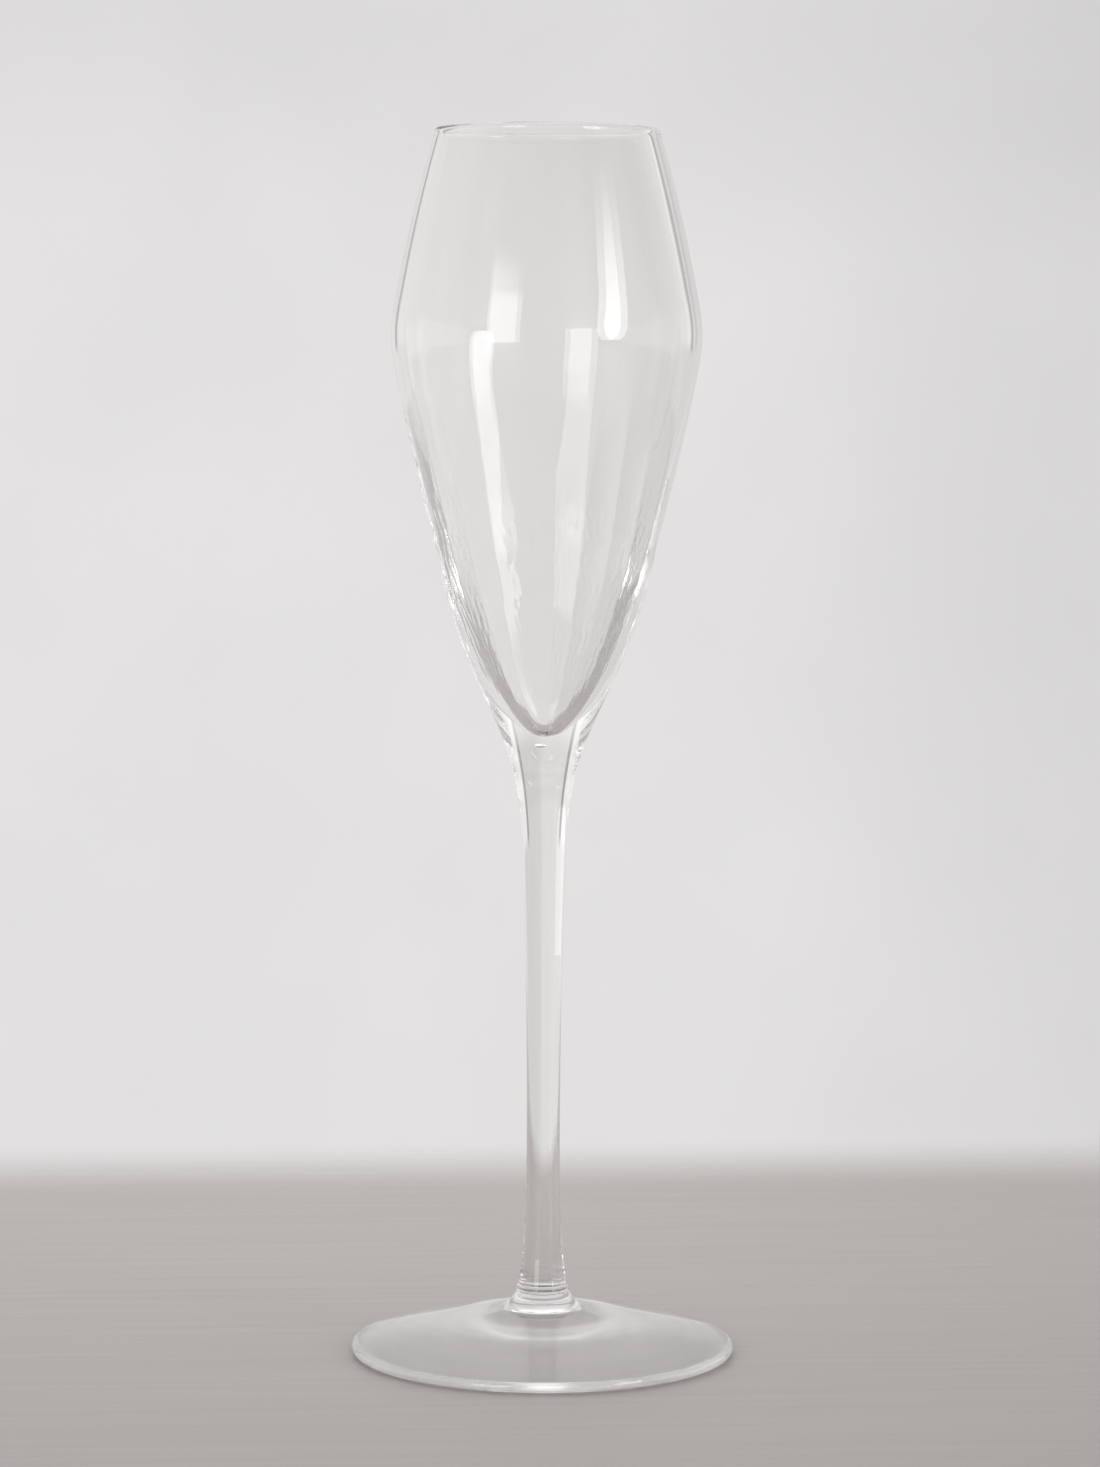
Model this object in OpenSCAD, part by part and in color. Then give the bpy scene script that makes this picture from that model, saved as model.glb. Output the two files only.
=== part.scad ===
// Hand-made tulip champagne flute in clear glass, standing on its foot.
// The origin is the centre of the table face of the foot; +Z is the glass's own axis, pointing up.
// The glass is worked hot from separate gathers, each one a solid here, joined face to face:
// foot, collar, stem and blown bowl.

/* [Rim and belly] */
// Height of the rim above the table
rim_z = 238; // [230:0.5:246]
// Outside diameter just under the rim
rim_d = 43.6; // [40:0.1:48]
// Height of the widest part of the bowl
belly_z = 198.5; // [194:0.5:203]
// Outside diameter of the widest part
belly_d = 60.1; // [57:0.1:64]
// Thickness of the blown wall, from the rim down to the belly
wall = 1.7; // [1.2:0.1:2.2]
// Height of the lip's fire-polished rounding
lip_h = 0.85; // [0.6:0.05:1.6]

/* [Base of the bowl] */
// Height where the flank starts to close in
flank_z = 150; // [147:0.5:153]
// Outside diameter there
flank_d = 39.4; // [37:0.1:42]
// Height where the base of the bowl tapers fastest
base_z = 131; // [129:0.5:133]
// Outside diameter there
base_d = 26; // [24:0.1:28]
// Height of the lowest point of the inside
well_z = 122.2; // [121:0.1:124]
// Radius of the round bottom of the well
well_r = 3.2; // [2.6:0.1:3.8]

/* [Stem] */
// Height where the bowl's gather meets the stem's
joint_z = 118.6; // [117:0.1:120]
// Diameter at that joint
joint_d = 15; // [14:0.1:16]
// Height where the stem begins to open out under the bowl
drawn_z = 92; // [86:0.5:97]
// Diameter there
drawn_d = 8; // [7.2:0.1:9]
// Height of the thinnest part of the stem
thin_z = 42; // [36:0.5:50]
// Diameter of the thinnest part
thin_d = 6.5; // [5.6:0.1:7.2]
// Diameter of the stem where it lands on the collar
landing_d = 9.4; // [8.6:0.1:9.8]

/* [Foot] */
// Diameter of the foot
foot_d = 75; // [70:0.5:82]
// Height of the foot's boss, where the collar sits
boss_z = 11.9; // [11:0.1:12.6]
// Thickness of the collar between the stem and the foot
collar_h = 1.4; // [1:0.1:2]
// Diameter of the collar
collar_d = 10.1; // [9.9:0.1:11]
// Thickness of the foot at its rounded edge
edge_h = 2.1; // [1.8:0.1:2.6]
// Width of the flat ring that the glass stands on
rest_w = 1.2; // [1:0.1:3]
// Height of the hollow under the middle of the foot
hollow_h = 7; // [6:0.1:7.4]

/* [Hidden] */
$fn = 96;
GLASS = [0.84, 0.88, 0.89, 0.45];

// Straight pieces in each smooth stretch of an outline, in each small arc and round the lip
STRETCH = 12;
ARC = 8;
LIP = 12;

// A smooth radius over a stretch of height. Each knot is [height, radius, spread], where spread is
// how much the radius grows for each millimetre of height.
function knot_point(a, b, t) =
    let (rise = b[0] - a[0])
    [a[1] * (1 + 2 * t) * pow(1 - t, 2) + b[1] * t * t * (3 - 2 * t)
         + rise * (a[2] * t * pow(1 - t, 2) - b[2] * t * t * (1 - t)),
     a[0] + rise * t];

function stretch(a, b) = [for (i = [0:STRETCH - 1]) knot_point(a, b, i / STRETCH)];

function outline(knots) =
    let (n = len(knots), top = knots[n - 1])
    [for (k = [0:n - 2], p = stretch(knots[k], knots[k + 1])) p, [top[1], top[0]]];

// An arc without its last point, and the whole arc
function open_arc(centre, r, from, to) =
    [for (i = [0:ARC - 1]) let (a = from + (to - from) * i / ARC) centre + r * [cos(a), sin(a)]];

function arc(centre, r, from, to) =
    concat(open_arc(centre, r, from, to), [centre + r * [cos(to), sin(to)]]);

function backwards(points) = [for (i = [len(points) - 1:-1:0]) points[i]];

// Belly: it rounds off over this height above and below, losing this much radius
turn_h = 10;
turn_drop = 1.4;
turn_spread = 0.195;
rim_spread = -0.29;

// Rim: the lip's rounding starts here
lip_z = rim_z - lip_h;
lip_r = rim_d / 2;

// The bowl and the stem share this knot, so the joint doesn't show in the outline
joint_knot = [joint_z, joint_d / 2, 0.36];

bowl_outside = [
    joint_knot,
    [base_z, base_d / 2, 0.47],
    [flank_z, flank_d / 2, 0.24],
    [belly_z - turn_h, belly_d / 2 - turn_drop, turn_spread],
    [belly_z, belly_d / 2, 0],
    [belly_z + turn_h, belly_d / 2 - turn_drop, -turn_spread],
    [lip_z, lip_r, rim_spread]
];

// The wall thickens downwards. These give the inside's radius low in the bowl, on the flank and
// half-way up to the belly: the first two as how much smaller it is than the outside's a little below
low_rise = 5;
low_inset = 2.6;
flank_rise = 1.5;
flank_inset = 2.9;
mid_z = 165;
mid_inside_r = 20.8;

// The well's round bottom ends where its side leans out this much
well_lean = 50;
well_side = [well_z + well_r * (1 - cos(well_lean)), well_r * sin(well_lean), 1 / tan(well_lean)];

bowl_inside = [
    well_side,
    [base_z + low_rise, base_d / 2 - low_inset, 0.46],
    [flank_z + flank_rise, flank_d / 2 - flank_inset, 0.4],
    [mid_z, mid_inside_r, 0.27],
    [belly_z - turn_h, belly_d / 2 - turn_drop - wall, turn_spread],
    [belly_z, belly_d / 2 - wall, 0],
    [belly_z + turn_h, belly_d / 2 - turn_drop - wall, -turn_spread],
    [lip_z, lip_r - wall, rim_spread]
];

// The lip goes over from the outside to the inside in half an ellipse
function lip() =
    [for (i = [1:LIP - 1]) let (a = 180 * i / LIP)
        [lip_r - wall / 2 + wall / 2 * cos(a), lip_z + lip_h * sin(a)]];

// Blown bowl: a solid base under a round-bottomed well, thinning upwards to the polished rim
module bowl() {
    well_centre = [0, well_z + well_r];
    color(GLASS)
    rotate_extrude()
    polygon(concat(
        [[0, joint_z]],
        outline(bowl_outside),
        lip(),
        backwards(outline(bowl_inside)),
        backwards(open_arc(well_centre, well_r, -90, well_lean - 90))
    ));
}

// Stem: drawn out of the gather under the bowl, thinnest low down, opening out onto the collar
module stem() {
    landing = [boss_z + collar_h, landing_d / 2, -0.15];
    color(GLASS)
    rotate_extrude()
    polygon(concat(
        [[0, landing[0]]],
        outline([landing, [thin_z, thin_d / 2, 0], [drawn_z, drawn_d / 2, 0.035], joint_knot]),
        [[0, joint_z]]
    ));
}

// Collar: the small disc pressed between the stem and the foot, with a rounded edge
module foot_collar() {
    edge_r = collar_h / 2;
    color(GLASS)
    rotate_extrude()
    polygon(concat(
        [[0, boss_z]],
        arc([collar_d / 2 - edge_r, boss_z + edge_r], edge_r, -90, 90),
        [[0, boss_z + collar_h]]
    ));
}

// Top of the foot: the boss spreads to a ring, then a shoulder, then the long slope to the edge
ring_r = 8.2;
ring_z = 8.8;
shoulder_r = 14;
shoulder_z = 7.85;
slope_r = 18;
slope_z = 6.85;
// The slope stops this far in from the edge, this far above the edge's thickness, and the edge's
// rounding starts at this angle
edge_inset = 1.2;
edge_lift = 0.05;
edge_turn = 70;

// Under the foot: a dome pushed up below the boss, then a cone that follows the slope above it
dome_r = 6;
dome_drop = 0.4;
dome_foot_r = 12;
dome_foot_z = 5;
cone_start_z = 3.9;
cone_end_r = 29.5;
cone_end_z = 1.3;

// These knots are [radius, height, slope], and the outline is turned over to match
function turned_over(points) = [for (p = points) [p[1], p[0]]];

// Foot: thin glass, hollow below, standing on a narrow flat ring just inside its rounded edge
module foot() {
    foot_r = foot_d / 2;
    edge_r = edge_h / 2;
    rest_r = foot_r - edge_r;
    top = turned_over(outline([
        [collar_d / 2, boss_z, -1.6],
        [ring_r, ring_z, -0.12],
        [shoulder_r, shoulder_z, -0.2],
        [slope_r, slope_z, -0.28],
        [foot_r - edge_inset, edge_h + edge_lift, -0.25]
    ]));
    under = turned_over(outline([
        [0, hollow_h, 0],
        [dome_r, hollow_h - dome_drop, -0.18],
        [dome_foot_r, dome_foot_z, -0.2],
        [slope_r, cone_start_z, -0.2],
        [cone_end_r, cone_end_z, -0.22],
        [rest_r - rest_w, 0, -0.21]
    ]));
    color(GLASS)
    rotate_extrude()
    polygon(concat(
        under,
        arc([rest_r, edge_r], edge_r, -90, edge_turn),
        backwards(top),
        [[0, boss_z]]
    ));
}

bowl();
stem();
foot_collar();
foot();
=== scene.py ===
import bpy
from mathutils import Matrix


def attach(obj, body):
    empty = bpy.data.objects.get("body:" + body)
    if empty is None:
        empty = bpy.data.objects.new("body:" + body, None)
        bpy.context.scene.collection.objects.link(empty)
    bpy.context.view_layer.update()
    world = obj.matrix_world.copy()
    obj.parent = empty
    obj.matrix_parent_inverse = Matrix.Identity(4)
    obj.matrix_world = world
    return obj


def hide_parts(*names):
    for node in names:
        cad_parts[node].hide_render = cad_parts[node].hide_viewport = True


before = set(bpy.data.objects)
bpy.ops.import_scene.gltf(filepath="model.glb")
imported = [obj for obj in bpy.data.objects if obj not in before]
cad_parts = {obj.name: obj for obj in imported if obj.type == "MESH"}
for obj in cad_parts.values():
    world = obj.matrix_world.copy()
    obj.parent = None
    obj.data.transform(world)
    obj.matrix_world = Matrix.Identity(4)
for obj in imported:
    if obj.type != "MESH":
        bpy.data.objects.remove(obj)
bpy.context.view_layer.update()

import math

import bmesh
import bpy
import numpy as np
from mathutils import Matrix

MM = 0.001
AROUND = 264
SHARP = math.radians(50)
TURN = np.linspace(0, 2 * math.pi, AROUND, endpoint=False)


# ---- outlines -------------------------------------------------------------------------------------

def smooth(value, low, high):
    """0 below low, 1 above high, and an even S-curve between them."""
    t = np.clip((value - low) / (high - low), 0, 1)
    return t * t * (3 - 2 * t)


def hermite(a, b, step):
    """Points of one smooth stretch between two knots (position, value, slope), without the last."""
    run = b[0] - a[0]
    count = max(2, round(abs(run) / step))
    t = np.arange(count) / count
    value = (
        a[1] * (1 + 2 * t) * (1 - t) ** 2
        + b[1] * t * t * (3 - 2 * t)
        + run * (a[2] * t * (1 - t) ** 2 - b[2] * t * t * (1 - t))
    )
    return np.stack([a[0] + run * t, value], 1)


def curve(knots, step):
    """The whole smooth line through the knots, as rows of (position, value)."""
    parts = [hermite(a, b, step) for a, b in zip(knots, knots[1:])]
    return np.concatenate(parts + [np.array([knots[-1][:2]])])


def arc(centre, radius, start, end, count):
    """Rows of (across, up) along a circular arc, angles in degrees."""
    angle = np.radians(np.linspace(start, end, count))
    return np.stack([centre[0] + radius * np.cos(angle), centre[1] + radius * np.sin(angle)], 1)


# ---- turned glass ---------------------------------------------------------------------------------

def turned(name, rings, materials, slots):
    """A closed solid of revolution. rings are (x, y, z) arrays around the axis, from one pole to the
    other; slots gives the material of each band between two rings, then of the two end caps."""
    points = np.concatenate([np.stack(ring, 1) for ring in rings]) * MM
    poles = np.array([[rings[i][a].mean() for a in range(3)] for i in (0, -1)]) * MM
    first = np.arange(AROUND)
    after = np.roll(first, -1)
    faces = []
    for band in range(len(rings) - 1):
        low = band * AROUND
        high = low + AROUND
        faces += np.stack([low + first, low + after, high + after, high + first], 1).tolist()
    bottom = len(points)
    last = bottom - AROUND
    faces += [[bottom, j, i] for i, j in zip(first.tolist(), after.tolist())]
    faces += [[bottom + 1, last + i, last + j] for i, j in zip(first.tolist(), after.tolist())]
    mesh = bpy.data.meshes.new(name)
    mesh.from_pydata(np.concatenate([points, poles]).tolist(), [], faces)
    mesh.polygons.foreach_set("material_index", np.repeat(slots, AROUND))
    mesh.polygons.foreach_set("use_smooth", np.ones(len(faces), bool))
    mesh.set_sharp_from_angle(angle=SHARP)
    for material in materials:
        mesh.materials.append(material)
    mesh.update()
    piece = bpy.data.objects.new(name, mesh)
    bpy.context.scene.collection.objects.link(piece)
    return piece


def ring(radius, height, shift=0.0):
    """One ring of points; radius and height may vary around it."""
    radius = np.broadcast_to(radius, TURN.shape)
    height = np.broadcast_to(height, TURN.shape)
    return radius * np.cos(TURN) + shift, radius * np.sin(TURN), height


def place(piece, node):
    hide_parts(node)
    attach(piece, "root")


# ---- glass ----------------------------------------------------------------------------------------

# Places in each piece's list of materials
CLEAR = 0
JOINT = 1
WORN = 2


def glass(name, roughness):
    """Clear glass, with the faintest warm tint."""
    material = bpy.data.materials.new(name)
    material.use_nodes = True
    shader = material.node_tree.nodes["Principled BSDF"]
    shader.inputs["Base Color"].default_value = (0.996, 0.994, 0.99, 1)
    shader.inputs["Roughness"].default_value = roughness
    shader.inputs["IOR"].default_value = 1.5
    shader.inputs["Transmission Weight"].default_value = 1.0
    return material


def glass_joint():
    """Where two gathers are fused there is no surface to see, so their touching faces show nothing."""
    material = bpy.data.materials.new("glass_joint")
    material.use_nodes = True
    material.node_tree.nodes["Principled BSDF"].inputs["Alpha"].default_value = 0.0
    return material


# ---- bowl -----------------------------------------------------------------------------------------

JOINT_Z = 118.6
JOINT_R = 7.5
LIP_Z = 237.15
RIM_Z = 238
LIP_R = 21.8
WALL = 1.7
WELL_Z = 122.2
WELL_R = 3.2
WELL_LEAN = 50
# The round bottom of the well stops this close to its lowest point, where the cap closes it
WELL_END = -84

# Knots are (height, radius, spread)
lean = math.radians(WELL_LEAN)
BOWL_OUTSIDE = [
    (JOINT_Z, JOINT_R, 0.36), (131, 13, 0.47), (150, 19.7, 0.24), (188.5, 28.65, 0.195),
    (198.5, 30.05, 0), (208.5, 28.65, -0.195), (LIP_Z, LIP_R, -0.29),
]
BOWL_INSIDE = [
    (WELL_Z + WELL_R * (1 - math.cos(lean)), WELL_R * math.sin(lean), 1 / math.tan(lean)),
    (136, 10.4, 0.46), (151.5, 16.8, 0.4), (165, 20.8, 0.27), (188.5, 26.95, 0.195),
    (198.5, 28.35, 0), (208.5, 26.95, -0.195), (LIP_Z, LIP_R - WALL, -0.29),
]

# Optic facets inside the bowl. A depth of 1 is a flat facet.
RIBS = 22
RIB_DEPTH = 1 + 0.4 * np.random.default_rng(4).uniform(-1, 1, RIBS)
RIB_PHASE = 0.25
RIB_LOW = 0.35
RIB_GROWTH = 0.3

# Waves in the inner wall, each with the heights it is strongest between. Depths are in mm where a
# wave runs WAVE_COUNT times around, and shallower in proportion where it runs more often.
WAVE_COUNT = 15
FINE_BAND = (134, 166)
SLOW_BAND = (130, 225)

# The cavity's offset from the axis, and the heights it grows between
CAVITY_OFFSET = -0.65
CAVITY_FROM = 155
CAVITY_TO = 190

# The seed bubble's middle and half-sizes
SEED_AT = (-0.6, 0.2, 120.3)
SEED_SIZE = (0.75, 0.6, 0.42)
SEED_AROUND = 24
SEED_LEVELS = 14


def rib(radius, height):
    """The soft optic facets, each a little different: weak in the well, and gone near the belly."""
    position = RIBS * TURN / (2 * math.pi) + RIB_PHASE
    across = position % 1 - 0.5
    flat = radius * (2 * math.pi / RIBS) ** 2 / 2 * (across ** 2 - 1 / 12)
    own = RIB_DEPTH[position.astype(int) % RIBS]
    growth = RIB_LOW + RIB_GROWTH * smooth(height, 142, 156)
    strength = smooth(height, 122, 127) * growth * (1 - smooth(height, 160, 192))
    return flat * own * strength


def ripple(waves, height, band):
    """The sum of the waves at one height, fading out just past both ends of the band."""
    low, high = band
    strength = smooth(height, low - 6, low + 3) * (1 - smooth(height, high - 8, high + 8))
    total = np.zeros(AROUND)
    for around, along, depth, phase in waves:
        total += depth * np.cos(around * TURN + along * height + phase)
    return total * strength


def random_waves(seed, count, around, along, depth):
    """Waves as (times around, turn for each mm of height, depth, phase), all about equally steep."""
    dice = np.random.default_rng(seed)
    waves = []
    for _ in range(count):
        k = int(dice.integers(*around))
        waves.append((k, dice.uniform(-along, along), depth * WAVE_COUNT / k, dice.uniform(0, 2 * math.pi)))
    return waves


def cavity_shift(height):
    """The blown cavity runs a little off the glass's axis towards the rim."""
    return CAVITY_OFFSET * smooth(height, CAVITY_FROM, CAVITY_TO)


def add_seed(piece):
    """A seed: a tiny flattened bubble of air caught in the bowl's solid base. Its faces look inwards, into
    the air, and are made one by one so that their order is the same in every run."""
    made = bmesh.new()
    made.from_mesh(piece.data)

    def corner(down, turn):
        unit = (math.sin(down) * math.cos(turn), math.sin(down) * math.sin(turn), math.cos(down))
        return made.verts.new([(at + half * part) * MM for at, half, part in zip(SEED_AT, SEED_SIZE, unit)])

    def level(index):
        down = math.pi * index / SEED_LEVELS
        return [corner(down, 2 * math.pi * step / SEED_AROUND) for step in range(SEED_AROUND)]

    top = corner(0, 0)
    bottom = corner(math.pi, 0)
    levels = [level(index) for index in range(1, SEED_LEVELS)]
    for j in range(SEED_AROUND):
        k = (j + 1) % SEED_AROUND
        bubble = [(top, levels[0][k], levels[0][j]), (bottom, levels[-1][j], levels[-1][k])]
        bubble += [(high[j], high[k], low[k], low[j]) for high, low in zip(levels, levels[1:])]
        for corners in bubble:
            made.faces.new(corners).smooth = True
    made.to_mesh(piece.data)
    made.free()


def build_bowl(clear, joint):
    fine = random_waves(11, 14, (45, 110), 1.6, 0.03)
    slow = random_waves(12, 10, (6, 34), 0.04, 0.004)
    rings = [ring(r, z) for z, r in curve(BOWL_OUTSIDE, 1.0)]
    for r, rise in arc((LIP_R - WALL / 2, 0), WALL / 2, 8, 172, 16):
        z = LIP_Z + rise * (RIM_Z - LIP_Z) / (WALL / 2)
        rings.append(ring(r, z, cavity_shift(z) * (LIP_R - r) / WALL))
    for z, r in curve(BOWL_INSIDE, 0.8)[::-1]:
        wavy = rib(r, z) + ripple(fine, z, FINE_BAND) + ripple(slow, z, SLOW_BAND)
        rings.append(ring(r + wavy, z, cavity_shift(z)))
    for r, z in arc((0, WELL_Z + WELL_R), WELL_R, WELL_LEAN - 90, WELL_END, 8)[1:]:
        rings.append(ring(r, z))
    slots = [CLEAR] * (len(rings) - 1) + [JOINT, CLEAR]
    piece = turned("bowl_glass", rings, [clear, joint], slots)
    add_seed(piece)
    place(piece, "bowl")


# ---- stem, collar and foot ------------------------------------------------------------------------

BOSS_Z = 11.9
COLLAR_H = 1.4
COLLAR_R = 5.05
FOOT_R = 37.46
EDGE_H = 2.1
REST_W = 1.2
HOLLOW_H = 7
# The hollow's first ring is this small, and the cap closes it
HOLLOW_TIP = 0.4

STEM = [(BOSS_Z + COLLAR_H, 4.7, -0.15), (42, 3.25, 0), (92, 4, 0.035), (JOINT_Z, JOINT_R, 0.36)]

# Knots of the foot are (radius, height, slope)
FOOT_TOP = [
    (COLLAR_R, BOSS_Z, -1.6), (8.2, 8.8, -0.12), (14, 7.85, -0.2), (18, 6.85, -0.28),
    (FOOT_R - 1.2, EDGE_H + 0.05, -0.25),
]
FOOT_UNDER = [
    (HOLLOW_TIP, HOLLOW_H, 0), (6, 6.6, -0.18), (12, 5, -0.2), (18, 3.9, -0.2), (29.5, 1.3, -0.22),
    (FOOT_R - EDGE_H / 2 - REST_W, 0, -0.21),
]


def build_stem(clear, joint):
    rings = [ring(r, z) for z, r in curve(STEM, 1.0)]
    slots = [CLEAR] * (len(rings) - 1) + [JOINT, JOINT]
    place(turned("stem_glass", rings, [clear, joint], slots), "stem")


def build_collar(clear, joint):
    edge = COLLAR_H / 2
    rings = [ring(r, z) for r, z in arc((COLLAR_R - edge, BOSS_Z + edge), edge, -90, 90, 17)]
    slots = [CLEAR] * (len(rings) - 1) + [JOINT, JOINT]
    place(turned("foot_collar_glass", rings, [clear, joint], slots), "foot_collar")


def build_foot(clear, joint, worn):
    """The foot's underside is worn a little dull, which veils what shows through it."""
    edge = EDGE_H / 2
    top = curve(FOOT_TOP, 0.4)
    under = curve(FOOT_UNDER, 0.5)
    rim = arc((FOOT_R - edge, edge), edge, -90, 70, 16)
    rings = [ring(r, z) for r, z in [*under, *rim, *top[::-1]]]
    slots = [WORN] * (len(under) - 1) + [CLEAR] * (len(rings) - len(under)) + [WORN, JOINT]
    place(turned("foot_glass", rings, [clear, joint, worn], slots), "foot")


# ---- nodes ----------------------------------------------------------------------------------------

def ramp(tree, source, low, high, low_value, high_value):
    """A smooth step of a number from one value to another."""
    made = tree.nodes.new("ShaderNodeMapRange")
    made.interpolation_type = "SMOOTHSTEP"
    tree.links.new(source, made.inputs["Value"])
    for name, value in zip(("From Min", "From Max", "To Min", "To Max"), (low, high, low_value, high_value)):
        made.inputs[name].default_value = value
    return made.outputs["Result"]


def maths(tree, operation, *sources):
    """A maths node over sockets or plain numbers."""
    made = tree.nodes.new("ShaderNodeMath")
    made.operation = operation
    for index, source in enumerate(sources):
        if isinstance(source, (int, float)):
            made.inputs[index].default_value = source
        else:
            tree.links.new(source, made.inputs[index])
    return made.outputs[0]


def blend(tree, base, other, amount):
    """base where amount is 0, other where it is 1."""
    return maths(tree, "ADD", base, maths(tree, "MULTIPLY", amount, maths(tree, "SUBTRACT", other, base)))


def noise(tree, vector, scale, detail):
    made = tree.nodes.new("ShaderNodeTexNoise")
    made.inputs["Scale"].default_value = scale
    made.inputs["Detail"].default_value = detail
    tree.links.new(vector, made.inputs["Vector"])
    return made


# ---- room -----------------------------------------------------------------------------------------

# Brightness of the wall's left and right, of what lies low beside it, of the dark gap above that, of
# the bright sides, of the room behind the viewer, and of the ceiling
WALL_LEFT = 0.768
WALL_RIGHT = 0.67
DIM = 0.48
DIM_ABOVE = 0.36
SIDE = 0.9
BEHIND = 0.35
CEILING = 1.35
ROOM_COLOUR = (1.0, 0.985, 0.982, 1)

# The wall's middle and half-width, in degrees around the glass
WALL_MIDDLE = 1.6
WALL_EDGE = (29.8, 31)
# Half-width of the pale low strip beside the wall, and where the bright sides begin and fade
LOW_STRIP_EDGE = (52, 64)
SIDE_START = (34, 38)
SIDE_FADE = (95, 140)


def build_room():
    """The room: a pale wall, a pale low strip beside it, a dark gap, bright sides and ceiling."""
    world = bpy.data.worlds.new("room")
    bpy.context.scene.world = world
    world.use_nodes = True
    tree = world.node_tree
    coord = tree.nodes.new("ShaderNodeTexCoord")
    split = tree.nodes.new("ShaderNodeSeparateXYZ")
    tree.links.new(coord.outputs["Generated"], split.inputs[0])
    across, ahead, up = split.outputs

    azimuth = maths(tree, "ARCTAN2", across, ahead)
    turned_by = maths(tree, "ABSOLUTE", maths(tree, "SUBTRACT", azimuth, math.radians(WALL_MIDDLE)))

    def around(degrees, inner, outer):
        low, high = (math.radians(angle) for angle in degrees)
        return ramp(tree, turned_by, low, high, inner, outer)

    low_up = maths(
        tree, "MULTIPLY",
        ramp(tree, up, -0.20, -0.17, 0.0, 1.0),
        ramp(tree, up, -0.06, -0.02, 1.0, 0.0),
    )
    low_strip = maths(tree, "MULTIPLY", around(LOW_STRIP_EDGE, 1.0, 0.0), low_up)
    pale = maths(tree, "MAXIMUM", around(WALL_EDGE, 1.0, 0.0), low_strip)
    shade = maths(
        tree, "MULTIPLY",
        ramp(tree, across, 0.02, 0.16, WALL_LEFT, WALL_RIGHT),
        ramp(tree, up, 0.02, 0.09, 1.0, 0.94),
    )
    beside = maths(
        tree, "MULTIPLY",
        around(SIDE_START, DIM_ABOVE, SIDE),
        around(SIDE_FADE, 1.0, BEHIND / SIDE),
    )
    dim = blend(tree, DIM, beside, ramp(tree, up, -0.17, -0.10, 0.0, 1.0))
    side = blend(tree, dim, shade, pale)
    overhead = maths(tree, "ADD", maths(tree, "MULTIPLY", up, 0.94), maths(tree, "MULTIPLY", ahead, 0.34))
    lit = blend(tree, side, CEILING, ramp(tree, overhead, 0.6, 0.95, 0.0, 1.0))
    plaster = noise(tree, coord.outputs["Generated"], 13.0, 4.0)
    lit = maths(tree, "MULTIPLY", lit, ramp(tree, plaster.outputs["Fac"], 0.35, 0.7, 0.985, 1.02))
    background = tree.nodes["Background"]
    background.inputs["Color"].default_value = ROOM_COLOUR
    tree.links.new(lit, background.inputs["Strength"])


# ---- table ----------------------------------------------------------------------------------------

TABLE_HALF_WIDTH = 1.6
TABLE_NEAR = -1.7
TABLE_FAR = 0.26
TABLE_DROP = 0.0002
TABLE_TURN = 4.3
TABLE_COLOUR = (0.446, 0.419, 0.404)
# The far edge fades over this stretch, as if out of focus
TABLE_FADE = (0.165, 0.235)
GRAIN_STRETCH = (9, 330, 1)


def build_table():
    """A pale taupe tabletop with fine grain along it. Painted shade darkens it towards the near side and
    towards the right, so it is paler at its far side and to the left.
    """
    w = TABLE_HALF_WIDTH
    corners = [(-w, TABLE_NEAR, 0), (w, TABLE_NEAR, 0), (w, TABLE_FAR, 0), (-w, TABLE_FAR, 0)]
    mesh = bpy.data.meshes.new("tabletop")
    mesh.from_pydata(corners, [], [(0, 1, 2, 3)])
    table = bpy.data.objects.new("tabletop", mesh)
    table.location = (0, 0, -TABLE_DROP)
    table.rotation_euler = (0, 0, math.radians(TABLE_TURN))
    bpy.context.scene.collection.objects.link(table)
    material = bpy.data.materials.new("tabletop")
    material.use_nodes = True
    tree = material.node_tree
    shader = tree.nodes["Principled BSDF"]
    shader.inputs["Roughness"].default_value = 0.42
    coord = tree.nodes.new("ShaderNodeTexCoord")
    split = tree.nodes.new("ShaderNodeSeparateXYZ")
    tree.links.new(coord.outputs["Object"], split.inputs[0])
    x, y = split.outputs["X"], split.outputs["Y"]
    tree.links.new(ramp(tree, y, *TABLE_FADE, 1.0, 0.0), shader.inputs["Alpha"])
    along = tree.nodes.new("ShaderNodeMapping")
    along.inputs["Scale"].default_value = GRAIN_STRETCH
    tree.links.new(coord.outputs["Object"], along.inputs["Vector"])
    grain = noise(tree, along.outputs[0], 1.0, 5.0)
    grain.inputs["Roughness"].default_value = 0.6
    grain_and_painted_shade = ramp(tree, grain.outputs["Fac"], 0.3, 0.7, 0.96, 1.04)
    # Painted shade: the table colour is darkened towards the near side.
    grain_and_painted_shade = maths(tree, "MULTIPLY", grain_and_painted_shade, ramp(tree, y, -0.25, 0.2, 0.76, 1.0))
    # Painted shade: the table colour is darkened towards the right.
    grain_and_painted_shade = maths(tree, "MULTIPLY", grain_and_painted_shade, ramp(tree, x, 0.0, 0.14, 1.0, 0.91))
    paint = tree.nodes.new("ShaderNodeVectorMath")
    paint.operation = "SCALE"
    paint.inputs[0].default_value = TABLE_COLOUR
    tree.links.new(grain_and_painted_shade, paint.inputs["Scale"])
    tree.links.new(paint.outputs[0], shader.inputs["Base Color"])
    mesh.materials.append(material)


# ---- lights ---------------------------------------------------------------------------------------

PANEL_DISTANCE = 1.6
PANEL_CENTRE_Z = 0.19

# Each outline is in degrees across and up from the panel's middle
WINDOW = [(-11.5, -16.5), (11.5, -16.5), (11.5, 16.2), (-11.5, 16.2)]
LAMP = [
    (4, -17.5), (8.5, -14), (10.5, -8), (11.5, 0), (13, 8), (14, 16.5),
    (1.5, 16.5), (-3.5, 8), (-7, 0), (-8.5, -8), (-7.5, -14), (-4, -17.5),
]


def panel_offset(degrees):
    return math.tan(math.radians(degrees)) * PANEL_DISTANCE


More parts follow.
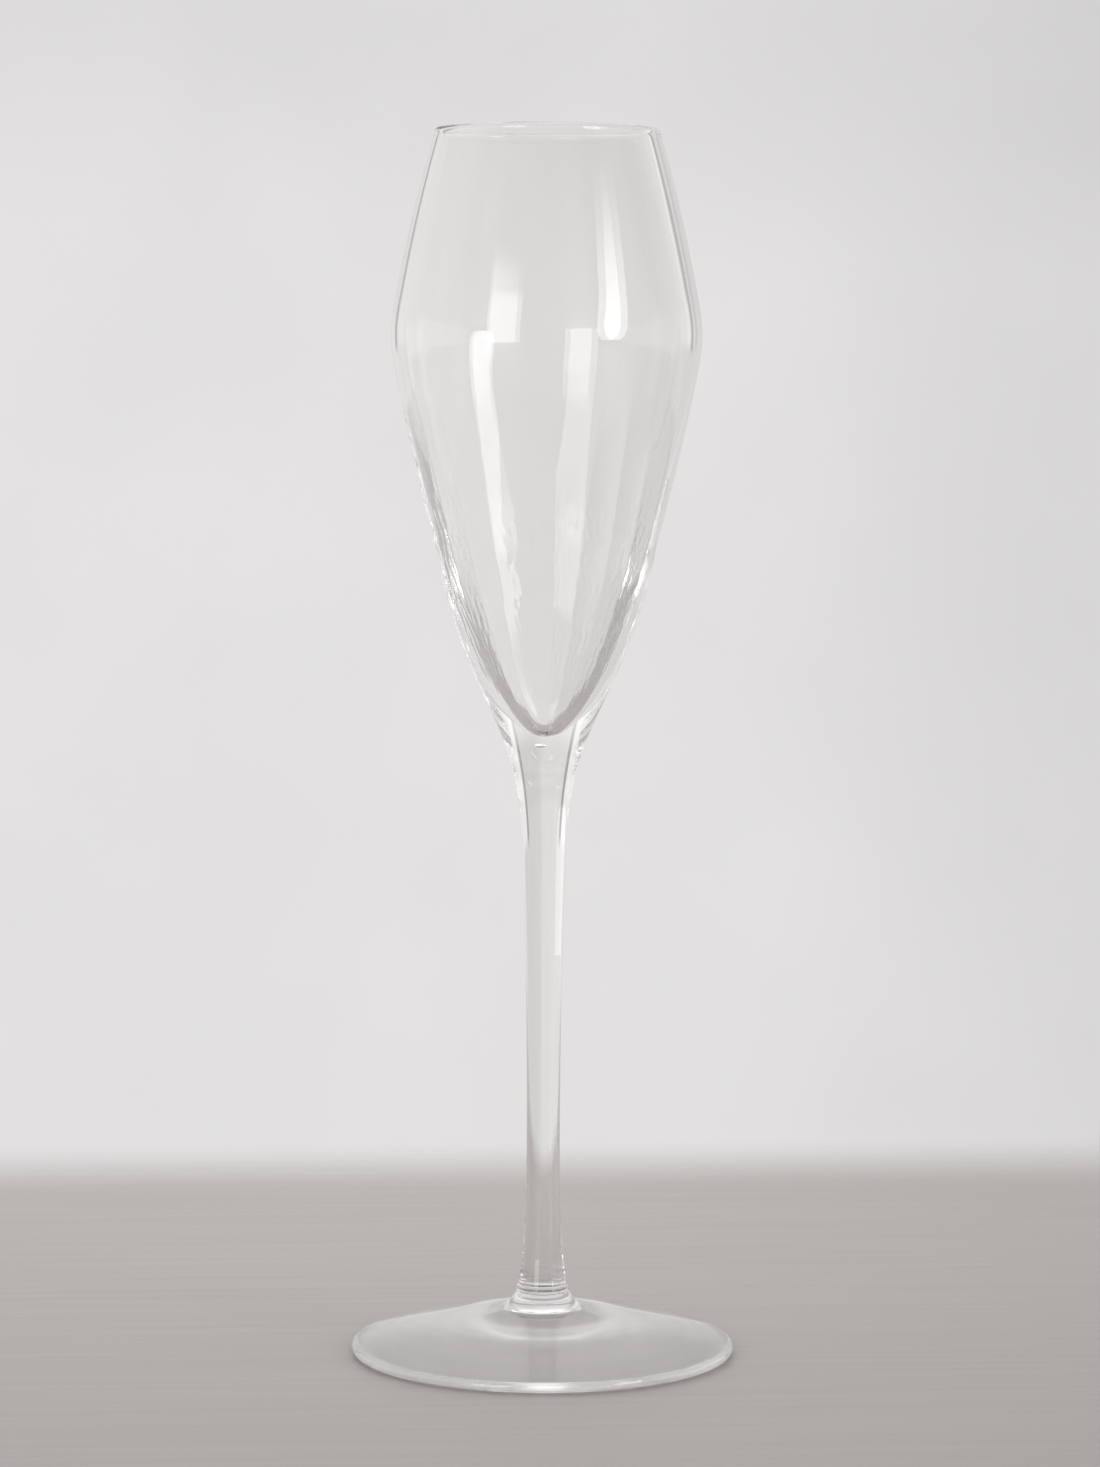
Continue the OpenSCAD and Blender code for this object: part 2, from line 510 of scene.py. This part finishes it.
def softbox(name, azimuth, elevation, radiance, top_radiance, hold, outline):
    """A glowing panel facing the glass, dimming from the share hold of its top height upwards."""
    corners = [(panel_offset(a), panel_offset(e)) for a, e in outline]
    mesh = bpy.data.meshes.new(name)
    mesh.from_pydata([(x, 0, y) for x, y in corners], [], [tuple(range(len(corners)))])
    panel = bpy.data.objects.new(name, mesh)
    turn = math.radians(azimuth)
    tilt = math.radians(elevation)
    panel.location = (
        math.sin(turn) * math.cos(tilt) * PANEL_DISTANCE,
        -math.cos(turn) * math.cos(tilt) * PANEL_DISTANCE,
        PANEL_CENTRE_Z + math.sin(tilt) * PANEL_DISTANCE,
    )
    panel.rotation_euler = (-tilt, 0, turn)
    panel.visible_camera = False
    bpy.context.scene.collection.objects.link(panel)
    material = bpy.data.materials.new(name)
    material.use_nodes = True
    tree = material.node_tree
    tree.nodes.clear()
    glow = tree.nodes.new("ShaderNodeEmission")
    output = tree.nodes.new("ShaderNodeOutputMaterial")
    tree.links.new(glow.outputs[0], output.inputs["Surface"])
    coord = tree.nodes.new("ShaderNodeTexCoord")
    split = tree.nodes.new("ShaderNodeSeparateXYZ")
    tree.links.new(coord.outputs["Object"], split.inputs[0])
    top = max(y for x, y in corners)
    strength = ramp(tree, split.outputs["Z"], hold * top, top, radiance, top_radiance)
    tree.links.new(strength, glow.inputs["Strength"])
    mesh.materials.append(material)


def build_lights():
    softbox("window_left", -30.5, 9.2, 3.3, 0.5, 0.7, WINDOW)
    softbox("lamp_right", 50.5, 13.5, 4.5, 0.8, 0.3, LAMP)


# ---- camera ---------------------------------------------------------------------------------------

CAMERA_AT = (0.00097, -0.821, 0.1878)
CAMERA_DOWN = 4.62
CAMERA_ROLL = 0.26
LENS = 104.07
# Light can be reflected inside the foot many times before it leaves the glass
BOUNCES = 96


def build_camera():
    data = bpy.data.cameras.new("camera")
    data.sensor_width = 36
    data.lens = LENS
    data.clip_start = 0.05
    data.clip_end = 50
    camera = bpy.data.objects.new("camera", data)
    camera.matrix_world = (
        Matrix.Translation(CAMERA_AT)
        @ Matrix.Rotation(math.radians(90 - CAMERA_DOWN), 4, "X")
        @ Matrix.Rotation(math.radians(CAMERA_ROLL), 4, "Z")
    )
    bpy.context.scene.collection.objects.link(camera)
    bpy.context.scene.camera = camera


def set_up_rays():
    scene = bpy.context.scene
    scene.view_settings.view_transform = "Standard"
    scene.cycles.max_bounces = BOUNCES
    scene.cycles.transmission_bounces = BOUNCES
    scene.cycles.glossy_bounces = BOUNCES
    scene.cycles.transparent_max_bounces = BOUNCES // 2


clear = glass("clear_glass", 0.0)
worn = glass("worn_glass", 0.12)
joint = glass_joint()
build_bowl(clear, joint)
build_stem(clear, joint)
build_collar(clear, joint)
build_foot(clear, joint, worn)
build_room()
build_table()
build_lights()
build_camera()
set_up_rays()

bpy.context.view_layer.update()
